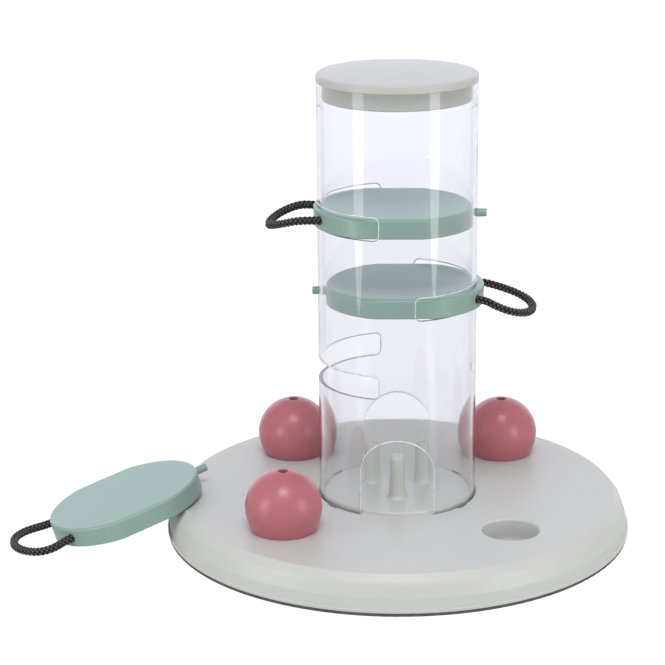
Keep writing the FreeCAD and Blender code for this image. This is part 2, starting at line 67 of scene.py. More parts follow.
def camera_matrix(place, yaw, dip, roll):
    """A camera's place and turn, from its yaw to the left, its dip and its roll."""
    forward = Vector(
        (-math.sin(yaw) * math.cos(dip), math.cos(yaw) * math.cos(dip), -math.sin(dip))
    )
    level = Vector((math.cos(yaw), math.sin(yaw), 0))
    above = level.cross(forward)
    right = level * math.cos(roll) + above * math.sin(roll)
    up = above * math.cos(roll) - level * math.sin(roll)
    turn = Matrix((right, up, -forward)).transposed()
    return Matrix.Translation(place) @ turn.to_4x4()


camera_data = bpy.data.cameras.new("camera")
camera_data.lens = CAMERA_LENS
camera_data.sensor_width = 36
camera_data.clip_start = 0.05
camera_data.clip_end = 30
camera = bpy.data.objects.new("camera", camera_data)
camera.matrix_world = camera_matrix(CAMERA_PLACE, CAMERA_YAW, CAMERA_DIP, CAMERA_ROLL)
bpy.context.scene.collection.objects.link(camera)
bpy.context.scene.camera = camera
TOWER_MIDDLE = Vector((0, 0, 0.1))
print("camera stands", round((CAMERA_PLACE - TOWER_MIDDLE).length, 3), "m from the tower")

# %% [markdown]
# ## Writing nodes as arithmetic
#
# Materials and Geometry Nodes are both nets of nodes. Wiring them by hand takes many
# lines, so two small classes do it here. `Sock` wraps a socket, and adding or
# multiplying it adds the Math node that does the sum. `Net` adds any other node: its
# settings come first, then the values or links of its sockets. The nodes that nearly
# every material needs, such as noise and a colour ramp, have a short method each.


# %% Two helpers for node trees
class Sock:
    """A node's output that can be used in sums."""

    def __init__(self, net, out):
        self.net = net
        self.out = out

    def math(self, operation, *others):
        terms = dict(enumerate((self,) + others))
        return self.net.add("ShaderNodeMath", {"operation": operation}, terms)

    def __add__(self, other):
        return self.math("ADD", other)

    def __sub__(self, other):
        return self.math("SUBTRACT", other)

    def __mul__(self, other):
        return self.math("MULTIPLY", other)

    def __truediv__(self, other):
        return self.math("DIVIDE", other)

    def __rsub__(self, other):
        return self.math("MULTIPLY", -1.0).math("ADD", other)

    __radd__ = __add__
    __rmul__ = __mul__


class Net:
    """A node tree and the one method that adds nodes to it."""

    def __init__(self, tree):
        self.tree = tree

    def add(self, kind, settings=None, sockets=None, out=0):
        node = self.tree.nodes.new(kind)
        for name, value in (settings or {}).items():
            if name == "stops":
                self.set_stops(node, value)
            else:
                setattr(node, name, value)
        for name, value in (sockets or {}).items():
            socket = node.inputs[name]
            if isinstance(value, Sock):
                self.tree.links.new(value.out, socket)
            else:
                socket.default_value = value
        if not node.outputs:
            return None
        return Sock(self, node.outputs[out])

    def set_stops(self, node, stops):
        """Fill a colour ramp from (position, colour) pairs."""
        ramp = node.color_ramp
        while len(ramp.elements) < len(stops):
            ramp.elements.new(1.0)
        for element, (position, colour) in zip(ramp.elements, stops):
            element.position = position
            element.color = colour

    def vector(self, operation, *values):
        sockets = dict(enumerate(values))
        return self.add("ShaderNodeVectorMath", {"operation": operation}, sockets)

    def scaled(self, vector, factor):
        sockets = {"Vector": vector, "Scale": factor}
        return self.add("ShaderNodeVectorMath", {"operation": "SCALE"}, sockets)

    def noise(self, place, scale, **more):
        """Noise at a place, with about `scale` patches to a metre."""
        return self.add("ShaderNodeTexNoise", {}, {"Vector": place, "Scale": scale} | more)

    def ramp(self, value, *stops):
        """A colour that runs through its stops as the value goes from 0 to 1."""
        return self.add("ShaderNodeValToRGB", {"stops": stops}, {0: value})

    def bump(self, height, strength, distance):
        """A normal that leans as if the surface had this height, in metres."""
        sockets = {"Strength": strength, "Distance": distance, "Height": height}
        return self.add("ShaderNodeBump", {}, sockets)

    def principled(self, colour, roughness, **more):
        """A Principled shader. Its other sockets go by name, with _ for a space."""
        sockets = {"Base Color": colour, "Roughness": roughness}
        sockets |= {name.replace("_", " "): value for name, value in more.items()}
        return self.add("ShaderNodeBsdfPrincipled", {}, sockets)

    def output(self, shader):
        self.add("ShaderNodeOutputMaterial", {}, {"Surface": shader})


def linear(red, green, blue):
    """A screen's sRGB colour, 0 to 255, as the light values that nodes expect."""
    def one(value):
        share = value / 255
        return share / 12.92 if share <= 0.04045 else ((share + 0.055) / 1.055) ** 2.4

    return (one(red), one(green), one(blue), 1.0)


print("pale grey on a screen is", [round(v, 3) for v in linear(206, 208, 206)], "in light")

# %% [markdown]
# ## Knitted black
#
# The loops are black polyester cord with a knitted cover: four columns of V-shaped
# stitches run along it, with a sunken furrow between columns. A painted shine lightens
# the yarns' crowns, and painted shade makes them nearly black where they dive. The
# stitches below store how far along, how far round and how far out a point lies, so
# the material reads those instead of a position in space, and follows every bend.


# %% Cord material
def new_material(name):
    """A material with an empty tree, and the helper that fills it."""
    material = bpy.data.materials.new(name)
    material.use_nodes = True
    material.node_tree.nodes.clear()
    return material, Net(material.node_tree)


STREAKS_ROUND = 6
STREAKS_ALONG = 1400
# painted light: the darkest stop is painted shade where the yarns dive, the lightest a painted
# shine on their crowns
YARN_SHADE_TO_SHINE = (
    (0.25, linear(9, 8, 8)), (0.55, linear(32, 30, 30)), (0.95, linear(116, 110, 107)),
)


def cord_material():
    """Black yarn, from nearly black painted shade where it dives to a painted shine on its crown.
    """
    material, net = new_material("black_cord")
    along, side, crown = (
        net.add("ShaderNodeAttribute", {"attribute_name": name}, out="Fac")
        for name in ("along", "side", "crown")
    )
    swing = side * (math.tau * STREAKS_ROUND) + along * STREAKS_ALONG
    streaks = (swing.math("SINE") + 1) * 0.5
    fuzz = net.add("ShaderNodeTexNoise", {}, {"Scale": 900.0, "Detail": 3.0})
    # painted light: lighter towards a yarn's crown as painted shine, darker where it dives and on
    # the core as painted shade
    light = crown * 0.7 + (fuzz - 0.5) * 0.5 + streaks * 0.16
    colour = net.ramp(light, *YARN_SHADE_TO_SHINE)
    bump = net.bump(streaks + fuzz, strength=0.7, distance=0.12 * MM)
    shader = net.principled(colour, 0.66 - crown * 0.22, Normal=bump, Specular_IOR_Level=0.5)
    net.output(shader)
    return material


black_cord = cord_material()
print("made", black_cord.name, "with", len(black_cord.node_tree.nodes), "nodes")

# %% [markdown]
# ## Stitches as a rule
#
# Columns of Vs come out of one rule. Eight yarns wind round the cord, four each way.
# All those of one hand ride outside at the same four angles, and those of the other
# hand outside half way between them, so at each angle only one hand shows and its
# strokes meet the next hand's in a V. A second, slower swing of the radius sinks every
# other meeting into a furrow. Geometry Nodes can do this: copy the cord's line eight
# times, push each copy off the line by its angle and radius, and sweep a flat oval
# along it. A core fills the middle, coloured darkest as painted shade. The yarns are
# turned from the line's own upright direction, so that a furrow faces the viewer, as it
# does in the photograph.

# %% Stitch tree
STITCHES = {
    "Yarns": ("NodeSocketInt", 8),
    "Lay": ("NodeSocketFloat", 9.2 * MM),
    "Radius": ("NodeSocketFloat", 1.42 * MM),
    "Weave": ("NodeSocketFloat", 0.4 * MM),
    "Furrow": ("NodeSocketFloat", 0.2 * MM),
    "Yarn Width": ("NodeSocketFloat", 1.3 * MM),
    "Yarn Height": ("NodeSocketFloat", 0.95 * MM),
    "Core": ("NodeSocketFloat", 1.05 * MM),
    "Turn": ("NodeSocketFloat", 0.1),
    "Twist": ("NodeSocketFloat", 9.0),
    "Step": ("NodeSocketFloat", 0.35 * MM),
}


OVAL_SIDES = 10
CORE_SIDES = 16


def stitch_tree(material):
    """Geometry Nodes that turn a line into a knitted cord."""
    tree = bpy.data.node_groups.new("knitted_cord", "GeometryNodeTree")
    tree.interface.new_socket("Line", in_out="INPUT", socket_type="NodeSocketGeometry")
    for name, (kind, value) in STITCHES.items():
        size = tree.interface.new_socket(name, in_out="INPUT", socket_type=kind)
        size.default_value = value
    tree.interface.new_socket("Cord", in_out="OUTPUT", socket_type="NodeSocketGeometry")
    net = Net(tree)
    group = tree.nodes.new("NodeGroupInput")

    def given(name):
        return Sock(net, group.outputs[name])

    def keep(geometry, name, value, kind="FLOAT"):
        settings = {"data_type": kind, "domain": "POINT"}
        sockets = {"Geometry": geometry, "Name": name, "Value": value}
        return net.add("GeometryNodeStoreNamedAttribute", settings, sockets)

    def read(name, kind="FLOAT"):
        return net.add("GeometryNodeInputNamedAttribute", {"data_type": kind}, {"Name": name})

    def swept(line, profile):
        sockets = {"Curve": line, "Profile Curve": profile, "Fill Caps": True}
        return net.add("GeometryNodeCurveToMesh", {}, sockets)

    # the line in short steps, and the directions beside and above it
    sockets = {"Curve": given("Line"), "Length": given("Step")}
    line = net.add("GeometryNodeResampleCurve", {"mode": "LENGTH"}, sockets)
    line = keep(line, "along", net.add("GeometryNodeSplineParameter", out="Length"))
    ahead = net.add("GeometryNodeInputTangent")
    aside = net.vector("NORMALIZE", net.vector("CROSS_PRODUCT", ahead, (0.0, 0.0, 1.0)))
    line = keep(line, "aside", aside, "FLOAT_VECTOR")
    line = keep(line, "upward", net.vector("CROSS_PRODUCT", aside, ahead), "FLOAT_VECTOR")

    # a copy for each yarn, pushed off the line by its angle and radius
    sockets = {"Geometry": line, "Amount": given("Yarns")}
    copies = net.add("GeometryNodeDuplicateElements", {"domain": "SPLINE"}, sockets)
    index = Sock(net, copies.out.node.outputs["Duplicate Index"])
    hand = index.math("MODULO", 2.0) * 2 - 1
    turns = read("along") / given("Lay")
    angle = (hand * turns + (index / 2).math("FLOOR") / (given("Yarns") / 2)) * math.tau
    weave = hand * (angle * 4).math("COSINE")
    furrow = (angle * 4 - math.pi / 2).math("COSINE")
    where = angle + given("Turn") + read("along") * given("Twist")
    up_part = net.scaled(read("upward", "FLOAT_VECTOR"), where.math("COSINE"))
    side_part = net.scaled(read("aside", "FLOAT_VECTOR"), where.math("SINE"))
    copies = keep(copies, "away", net.vector("ADD", up_part, side_part), "FLOAT_VECTOR")
    copies = keep(copies, "weave", weave)
    copies = keep(copies, "furrow", furrow)
    radius = given("Radius") + given("Weave") * read("weave") + given("Furrow") * read("furrow")
    shift = net.scaled(read("away", "FLOAT_VECTOR"), radius)
    yarns = net.add("GeometryNodeSetPosition", {}, {"Geometry": copies, "Offset": shift})
    sockets = {"Curve": yarns, "Normal": read("away", "FLOAT_VECTOR")}
    yarns = net.add("GeometryNodeSetCurveNormal", {"mode": "FREE"}, sockets)

    # a flat oval swept along each yarn
    circle = "GeometryNodeCurvePrimitiveCircle"
    oval = net.add(circle, {}, {"Resolution": OVAL_SIDES, "Radius": 0.5})
    oval = keep(oval, "side", net.add("GeometryNodeSplineParameter"))
    sockets = {0: given("Yarn Height"), 1: given("Yarn Width"), 2: 1.0}
    size = net.add("ShaderNodeCombineXYZ", {}, sockets)
    oval = net.add("GeometryNodeTransform", {}, {"Geometry": oval, "Scale": size})
    yarns = swept(yarns, oval)
    # crown rises towards a yarn's outer side; the colour ramp paints high values as shine and low
    # ones as shade
    bulge = (read("side") * math.tau).math("COSINE")
    crown = bulge * 0.25 + read("weave") * 0.5 + read("furrow") * 0.12 + 0.3
    yarns = keep(yarns, "crown", crown)

    # a core that the material colours darkest, as painted shade, and all of it as one mesh
    ring = net.add(circle, {}, {"Resolution": CORE_SIDES, "Radius": given("Core")})
    core = keep(swept(line, ring), "crown", 0.0)
    both = net.add("GeometryNodeJoinGeometry", {}, {"Geometry": yarns})
    tree.links.new(core.out, both.out.node.inputs["Geometry"])
    both = net.add("GeometryNodeSetShadeSmooth", {}, {"Geometry": both})
    both = net.add("GeometryNodeRealizeInstances", {}, {"Geometry": both})
    both = net.add("GeometryNodeSetMaterial", {}, {"Geometry": both, "Material": material})
    net.add("NodeGroupOutput", {}, {"Cord": both})
    return tree


stitcher = stitch_tree(black_cord)
print("stitch tree has", len(stitcher.nodes), "nodes and", len(STITCHES), "named sizes")

# %% [markdown]
# ## Where the loops run
#
# A loop leaves its shelf by two holes, level and straight for a few millimetres, and
# then turns wide. The points are those of the solid cords, in each shelf's own frame:
# its middle, at its underside, with the cord's end towards -X. A NURBS curve that has
# them as its control points is smooth and cuts a little inside their corners.

# %% Routes in the shelves' own frames
KNOT_FACE_X = -33.78
MOUTH_X = -40.78
HOLE_Y = 17.4
HOLE_Z = 5.1
UPPER_LOOP = [
    (-49.0, -17.4, 5.0), (-56.0, -14.5, 3.0), (-61.5, -9.4, 0.8), (-65.1, -2.7, -0.9),
    (-65.2, 4.9, -0.6), (-61.9, 11.7, 1.2), (-56.1, 16.4, 3.4), (-49.0, 18.2, 5.4),
]
LOWER_LOOP = [
    (-47.6, 18.0, 1.4), (-55.0, 16.9, -1.8), (-61.8, 12.7, -3.9), (-66.5, 6.1, -4.7),
    (-68.2, -1.8, -4.1), (-66.1, -9.4, -2.7), (-60.8, -15.1, -0.8), (-53.7, -18.0, 1.2),
    (-47.8, -18.3, 3.0),
]
LOOSE_LOOP = [
    (-49.0, -18.8, 4.3), (-56.2, -16.7, 4.9), (-61.4, -11.0, 6.2), (-64.2, -3.6, 7.2),
    (-63.9, 4.3, 7.8), (-61.0, 11.6, 7.8), (-55.3, 16.5, 7.1), (-48.6, 18.1, 6.1),
]


def turn(axis, degrees):
    """A turn about one axis, as a matrix."""
    return Matrix.Rotation(math.radians(degrees), 4, axis)


LOOSE_TURN = turn("Z", 26.6) @ turn("Y", -15.0) @ turn("X", -6.1)
SHELF_PLACES = {
    "upper": Matrix.Translation((-2.1, 0, 169.1)),
    "lower": Matrix.Translation((4.0, 0, 126.9)) @ turn("Z", 180),
    "loose": Matrix.Translation((-145.4, -12.6, 11.68)) @ LOOSE_TURN,
}
LOOPS = {"upper": UPPER_LOOP, "lower": LOWER_LOOP, "loose": LOOSE_LOOP}


def route(name):
    """A loop's points in metres, from its first knot to its second."""
    loop = LOOPS[name]
    first_y = math.copysign(HOLE_Y, loop[0][1])
    ends = [(KNOT_FACE_X, first_y, HOLE_Z), (MOUTH_X, first_y, HOLE_Z)]
    others = [(x, -y, z) for x, y, z in reversed(ends)]
    return [SHELF_PLACES[name] @ Vector(point) * MM for point in ends + loop + others]


for name in LOOPS:
    start = [round(v, 4) for v in route(name)[0]]
    print(name, "loop has", len(route(name)), "points and starts at", start)

# %% [markdown]
# ## Making the loops
#
# Each line goes through the stitch tree, and the result is taken as a plain mesh. Order 3
# and the end points are set after the points are added, or the curve would stay
# straight runs.


# %% Knit the three loops
def nurbs_line(name, points):
    """A curve object whose smooth line has these control points."""
    curve = bpy.data.curves.new(name, "CURVE")
    curve.dimensions = "3D"
    curve.resolution_u = 16
    spline = curve.splines.new("NURBS")
    spline.points.add(len(points) - 1)
    for place, point in zip(spline.points, points):
        place.co = (*point, 1.0)
    spline.order_u = 3
    spline.use_endpoint_u = True
    return link(bpy.data.objects.new(name, curve))


def link(obj):
    """Put a new object into the scene."""
    bpy.context.scene.collection.objects.link(obj)
    return obj


def as_mesh(obj, name):
    """The finished shape of an object, as a new object with a plain mesh."""
    graph = bpy.context.evaluated_depsgraph_get()
    mesh = bpy.data.meshes.new_from_object(
        obj.evaluated_get(graph), preserve_all_data_layers=True, depsgraph=graph
    )
    mesh.name = name
    return link(bpy.data.objects.new(name, mesh))


def drop(obj):
    """Remove a helper object and its data."""
    data = obj.data
    bpy.data.objects.remove(obj)
    if isinstance(data, bpy.types.Curve):
        bpy.data.curves.remove(data)
    else:
        bpy.data.meshes.remove(data)


def line_points(line):
    """The points that a curve's smooth line runs through."""
    plain = as_mesh(line, "line_points")
    points = [v.co.copy() for v in plain.data.vertices]
    drop(plain)
    return points


def set_inputs(modifier, tree, values):
    """Set a modifier's inputs by the identifiers of the tree's named sockets."""
    for item in tree.interface.items_tree:
        if item.in_out == "INPUT" and item.name in values:
            modifier[item.identifier] = values[item.name]


def knitted(line, name, sizes=None):
    """A knitted cord along a line, with the usual stitches or other sizes."""
    modifier = line.modifiers.new("stitches", "NODES")
    modifier.node_group = stitcher
    usual = {key: value for key, (_, value) in STITCHES.items()}
    set_inputs(modifier, stitcher, usual | (sizes or {}))
    return as_mesh(line, name)


for name in LOOPS:
    line = nurbs_line(name + "_line", route(name))
    points = line_points(line)
    cord = knitted(line, name + "_knitted_cord")
    drop(line)
    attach(cord, name + "_shelf")
    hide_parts(name + "_cord")

# %% [markdown]
# ## The knots
#
# Behind the end wall each end of the loop is wound round itself and pulled tight, with
# a short tail. Only a look from below shows them. A tight knot is a short coil of the
# same cord, so a helix through the same tree makes it.

# %% Wind the knots
KNOT_X = -31.18
KNOT_TURN_R = 1.75
KNOT_PITCH = 1.9
KNOT_TURNS = 1.8
KNOT_COIL = 1.5
KNOT_STEPS = 18
KNOT_START_X = KNOT_FACE_X + 0.7
KNOT_TAIL_END_X = -25.6
KNOT_TAIL_X = KNOT_TAIL_END_X - 1.5


def knot_points(y):
    """A coil of nearly two turns about the hole's axis, and its tail."""
    points = [Vector((KNOT_START_X, y, HOLE_Z))]
    for i in range(KNOT_STEPS + 1):
        angle = math.tau * KNOT_TURNS * i / KNOT_STEPS
        x = KNOT_X - KNOT_PITCH * KNOT_COIL / 2 + KNOT_PITCH * KNOT_COIL * i / KNOT_STEPS
        wound_y = y + KNOT_TURN_R * math.cos(angle)
        wound_z = HOLE_Z + KNOT_TURN_R * math.sin(angle)
        points.append(Vector((x, wound_y, wound_z)))
    points.append(Vector((KNOT_TAIL_X, y, HOLE_Z)))
    points.append(Vector((KNOT_TAIL_END_X, y, HOLE_Z)))
    return points


TIGHT_STITCHES = {
    "Radius": 0.9 * MM, "Weave": 0.16 * MM, "Furrow": 0.06 * MM, "Yarn Width": 1.0 * MM,
    "Yarn Height": 0.6 * MM, "Core": 0.85 * MM, "Lay": 7.0 * MM,
}


def join(objects, name):
    """One object that holds the meshes of several."""
    mesh = bpy.data.meshes.new(name)
    gather = bmesh.new()
    for obj in objects:
        gather.from_mesh(obj.data)
    gather.to_mesh(mesh)
    gather.free()
    for material in objects[0].data.materials:
        mesh.materials.append(material)
    for obj in objects:
        drop(obj)
    return link(bpy.data.objects.new(name, mesh))


for name, place in SHELF_PLACES.items():
    halves = []
    for y in (-HOLE_Y, HOLE_Y):
        line = nurbs_line("knot_line", [place @ point * MM for point in knot_points(y)])
        halves.append(knitted(line, "knot_half", TIGHT_STITCHES))
        drop(line)
    knots = join(halves, name + "_tied_knots")
    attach(knots, name + "_shelf")
    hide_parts(name + "_knots")
    print(knots.name, "faces", len(knots.data.polygons))

# %% [markdown]
# ## Satin moulded plastic
#
# Base, lid, shelves and domes are all injection-moulded with a fine satin skin. Such a
# surface is never one flat value: the colour drifts by a percent or two where the
# plastic flowed, the polish varies in soft patches, and the mould's spark-eroded grain
# gives a bump too fine to see but enough to spread a highlight. One recipe makes all
# four, with its own colour, polish and grain.


# %% Satin plastic recipe
CLOUDS = 35.0
PATCHES = 420.0
PITS = 2600.0
SATIN_IOR = 1.47


def satin_plastic(name, colour, dark, polish, grain, mirror=0.5):
    """Moulded plastic that drifts from one colour towards a darker one."""
    material, net = new_material(name)
    place = net.add("ShaderNodeTexCoord", out="Object")
    clouds = net.noise(place, CLOUDS, Detail=3.0, Roughness=0.55)
    skin = net.noise(place, PATCHES, Detail=4.0, Roughness=0.6)
    pits = net.noise(place, PITS, Detail=2.0)
    mixed = net.ramp(clouds * 0.8 + skin * 0.2, (0.3, dark), (0.7, colour))
    bump = net.bump(pits + skin * 0.5, strength=grain, distance=0.04 * MM)
    roughness = polish + (skin - 0.5) * 0.12 + (clouds - 0.5) * 0.08
    shader = net.principled(
        mixed, roughness, Normal=bump, Specular_IOR_Level=mirror, IOR=SATIN_IOR
    )
    net.output(shader)
    return material


def paint(node, material):
    """Give a piece of the solid model its material."""
    mesh = nodes[node].data
    mesh.materials.clear()
    mesh.materials.append(material)
    print(node, "is now", material.name)


base_plastic = satin_plastic(
    "pale_grey_plastic", (0.60, 0.615, 0.57, 1), (0.575, 0.59, 0.545, 1), polish=0.42, grain=0.35
)
lid_plastic = satin_plastic(
    "lid_grey_plastic", (0.57, 0.575, 0.53, 1), (0.55, 0.555, 0.51, 1), polish=0.36, grain=0.3,
    mirror=0.3,
)
shelf_plastic = satin_plastic(
    "sage_green_plastic", (0.276, 0.408, 0.356, 1), (0.255, 0.387, 0.334, 1), polish=0.32,
    grain=0.3,
)
dome_plastic = satin_plastic(
    "dusty_red_plastic", (0.505, 0.159, 0.187, 1), (0.47, 0.142, 0.166, 1), polish=0.3,
    grain=0.12,
)
paint("base", base_plastic)
paint("lid", lid_plastic)
for name in SHELF_PLACES:
    paint(name + "_shelf", shelf_plastic)
for name in ("dome_front_left", "dome_back_left", "dome_back_right"):
    paint(name, dome_plastic)

# %% [markdown]
# ## Softer posts
#
# The three posts inside the tube are the softest forms on the tower: rounded tips, a
# slight taper and a foot that flares into the floor like poured wax. The solid model
# has plain cones there, so each gets a skin, turned from one profile about its axis.

# %% Turn the skins of the posts
POST_CIRCLE_R = 15.8 * MM
POST_FLOOR_Z = 21.5 * MM
POST_COUNT = 3
POST_SEGMENTS = 40
FIRST_POST = -90
POST_PROFILE = [
    (0.0, -0.3), (6.0, -0.3), (5.9, 0.03), (5.2, 0.3), (4.75, 0.85), (4.45, 1.7),
    (4.28, 3.0), (4.15, 7.0), (4.0, 13.0), (3.85, 19.0), (3.72, 21.6), (3.45, 22.7),
    (2.85, 23.4), (1.8, 23.75), (0.0, 23.8),
]


def turned(profile, middle, segments, skin):
    """Add a closed surface turned from (radius, height) pairs in mm about an upright axis."""
    angles = [math.tau * i / segments for i in range(segments)]
    rings = []
    for radius, height in profile:
        if radius == 0:
            tip = skin.verts.new(middle + Vector((0, 0, height)) * MM)
            rings.append([tip] * segments)
            continue
        ring = [Vector((radius * math.cos(a), radius * math.sin(a), height)) for a in angles]
        rings.append([skin.verts.new(middle + place * MM) for place in ring])
    for low, high in zip(rings, rings[1:]):
        for i in range(segments):
            j = (i + 1) % segments
            corners = list(dict.fromkeys((low[i], low[j], high[j], high[i])))
            skin.faces.new(corners).smooth = True


def post_skins():
    """The skins of the posts, which stand in a ring, the first one at the front."""
    skin = bmesh.new()
    for i in range(POST_COUNT):
        angle = math.radians(FIRST_POST + 360 / POST_COUNT * i)
        x, y = POST_CIRCLE_R * math.cos(angle), POST_CIRCLE_R * math.sin(angle)
        turned(POST_PROFILE, Vector((x, y, POST_FLOOR_Z)), POST_SEGMENTS, skin)
    mesh = bpy.data.meshes.new("post_skins")
    skin.to_mesh(mesh)
    skin.free()
    mesh.materials.append(base_plastic)
    return link(bpy.data.objects.new("post_skins", mesh))


posts = post_skins()
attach(posts, "base")
print("post skins:", len(posts.data.polygons), "faces")

# %% [markdown]
# ## The soft ring
#
# A dark soft ring under the rim keeps the tower from sliding. Soft rubber scatters
# light broadly, picks up dust, and shows almost no highlight.


# %% Ring rubber
def ring_rubber():
    """Dark grey rubber with pores and a drift of dust."""
    material, net = new_material("grey_rubber")
    place = net.add("ShaderNodeTexCoord", out="Object")
    dust = net.noise(place, 180.0, Detail=5.0)
    pores = net.noise(place, 3000.0)
    colour = net.ramp(dust, (0.35, linear(76, 78, 76)), (0.75, linear(98, 100, 96)))
    bump = net.bump(pores, strength=0.4, distance=0.05 * MM)
    net.output(net.principled(colour, 0.75 + dust * 0.15, Normal=bump))
    return material


paint("non_slip_ring", ring_rubber())

# %% [markdown]
# ## A smoother tube
#
# The solid model's tube is a net of flat triangles, and clear plastic shows each one,
# because light bends at every kink. So a copy of it is joined into one skin, its long
# edges are halved and pushed out to the true radius, and the normals are set by rule:
# on a surface turned about the tube's axis, they point the way that the turning gives.
# What isn't part of the turned walls is a cut: the edges of slots, arches and holes.


# %% Refine the tube
TUBE_RADII = (40.0 * MM, 40.5 * MM, 42.0 * MM)
ON_WALL = 0.02 * MM
SAME_PLACE = 0.005 * MM
LONGEST_CHORD = 2.4 * MM
HALVINGS = 3
FACES_UP = 0.9
FACES_OUT = 0.97
SLOPE_SHARE = 0.05
FLOOR_TOP = 21.6 * MM
TUBE_TOP = 244.2 * MM
SLOT_H = 12.5 * MM
SLOT_FOOT = 1.2 * MM


def joined_skin(node):
    """A piece of the solid model as one skin of joined triangles."""
    skin = bmesh.new()
    skin.from_mesh(nodes[node].data)
    bmesh.ops.remove_doubles(skin, verts=skin.verts, dist=SAME_PLACE)
    return skin


def nearest_wall(place):
    """The wall radius nearest to a place, and the place's own radius."""
    radius = math.hypot(place.x, place.y)
    return min(TUBE_RADII, key=lambda wall: abs(wall - radius)), radius


def on_wall(vert):
    """The wall radius that a point lies on, or None."""
    wall, radius = nearest_wall(vert.co)
    return wall if abs(wall - radius) < ON_WALL else None


def halve_chords(skin):
    """Halve every long level chord of a wall and move its middle out to the wall."""
    chords = []
    for edge in skin.edges:
        a, b = edge.verts
        wall = on_wall(a)
        if wall and wall == on_wall(b) and (a.co - b.co).xy.length > LONGEST_CHORD:
            chords.append(edge)
    cut = bmesh.ops.subdivide_edges(skin, edges=chords, cuts=1)
    for vert in cut["geom_inner"]:
        if isinstance(vert, bmesh.types.BMVert):
            wall, radius = nearest_wall(vert.co)
            vert.co.x *= wall / radius
            vert.co.y *= wall / radius
    bmesh.ops.triangulate(skin, faces=skin.faces)
    return len(chords)


def turned_normal(face, place):
    """A turned surface's normal at a point of one of its faces, or None on a cut."""
    middle = face.calc_center_median()
    out = Vector((middle.x, middle.y, 0)).normalized()
    along_out = face.normal.dot(out)
    if abs(face.normal.z) > FACES_UP or along_out ** 2 + face.normal.z ** 2 < FACES_OUT:
        return None
    here = Vector((place.x, place.y, 0)).normalized()
    return (here * along_out + Vector((0, 0, face.normal.z * SLOPE_SHARE))).normalized()


def painted_highlight_part(chain):
    """Where the painted highlight goes: not a hole's corner, nor the foot of a slot's, which faces
    the dark.
    """
    height = max(point.z for point in chain) - min(point.z for point in chain)
    if height < SLOT_H * 0.9:
        return []
    if height > SLOT_H * 1.1:
        return chain
    low = min(point.z for point in chain) + SLOT_FOOT
    start = next(i for i, point in enumerate(chain) if point.z < low)
    from_foot = chain[start:] + chain[:start]
    return [point for point in from_foot if point.z > low]


def rim_chains(skin):
    """The outer corners of the slots and arches, as chains of points."""
    after = {}
    for edge in skin.edges:
        kinds = [face.material_index for face in edge.link_faces]
        ends = [vert.co.copy().freeze() for vert in edge.verts]
        outside = all(abs(math.hypot(end.x, end.y) - TUBE_RADII[2]) < ON_WALL for end in ends)
        inside_top = FLOOR_TOP < max(end.z for end in ends) < TUBE_TOP - MM
        if sorted(kinds) == [0, 1] and outside and inside_top:
            for a, b in (ends, ends[::-1]):
                after.setdefault(a, []).append(b)
    chains = []
    while after:
        single = [point for point, near in after.items() if len(near) == 1]
        chain = [single[0] if single else next(iter(after))]
        while chain[-1] in after:
            onward = after.pop(chain[-1])
            onward = [point for point in onward if point in after]
            if not onward:
                break
            chain.append(onward[0])
        chains.append(chain)
    return [part for part in map(painted_highlight_part, chains) if part]


def smooth_tube():
    """The tube, with its walls in slot 0 and its cuts in slot 1, and the rims for the painted
    highlight.
    """
    skin = joined_skin("clear_tube")
    halved = [halve_chords(skin) for _ in range(HALVINGS)]
    mesh = bpy.data.meshes.new("polished_tube")
    skin.normal_update()
    skin.faces.ensure_lookup_table()
    corners = []
    for face in skin.faces:
        face.smooth = True
        by_rule = [turned_normal(face, vert.co) for vert in face.verts]
        face.material_index = 0 if by_rule[0] else 1
        corners += [normal or face.normal.copy() for normal in by_rule]
    rims = rim_chains(skin)
    skin.to_mesh(mesh)
    skin.free()
    mesh.normals_split_custom_set(corners)
    print("halved chords:", halved, "triangles:", len(mesh.polygons))
    return link(bpy.data.objects.new("polished_tube", mesh)), rims


tube, tube_rims = smooth_tube()
print("rims that catch light:", len(tube_rims))

# %% [markdown]
# ## Clear plastic
#
# The tube is clear styrene: light bends in its walls, so what stands behind it shifts,
# and its tint deepens to grey where one looks along the wall, partly from the longer
# path and partly as painted shade on its edges. Use leaves faint smears, which show as
# a slightly rougher polish in wavy bands, and the mould leaves slow ripples. The cuts
# are frosted, and a thin pale bead along the outer corner of each is a painted
# highlight. Glass shaders cast dark shadows where the real tube casts almost none, so
# lamps' rays meet a transparent shader.


# %% Clear tube materials
def let_lamps_through(net, shader, tint):
    """Finish a material so that light for dull surfaces passes with a light tint."""
    passing = net.add("ShaderNodeBsdfTransparent", {}, {"Color": tint})
    for ray in ("Is Diffuse Ray", "Is Shadow Ray"):
        kind = net.add("ShaderNodeLightPath", out=ray)
        shader = net.add("ShaderNodeMixShader", {}, {0: kind, 1: shader, 2: passing})
    net.add("ShaderNodeOutputMaterial", {}, {"Surface": shader})


# a tint that darkens towards grazing views: partly the longer path through the plastic, partly
# painted shade on the tube's edges
EDGE_TINT_AND_SHADE = [
    (0.3, (0.972, 0.968, 0.974, 1)),
    (0.64, (0.955, 0.953, 0.96, 1)),
    (0.74, (0.80, 0.80, 0.82, 1)),
    (0.9, (0.70, 0.70, 0.72, 1)),
]
TUBE_IOR = 1.49
BEAD_RADIUS = 0.27 * MM


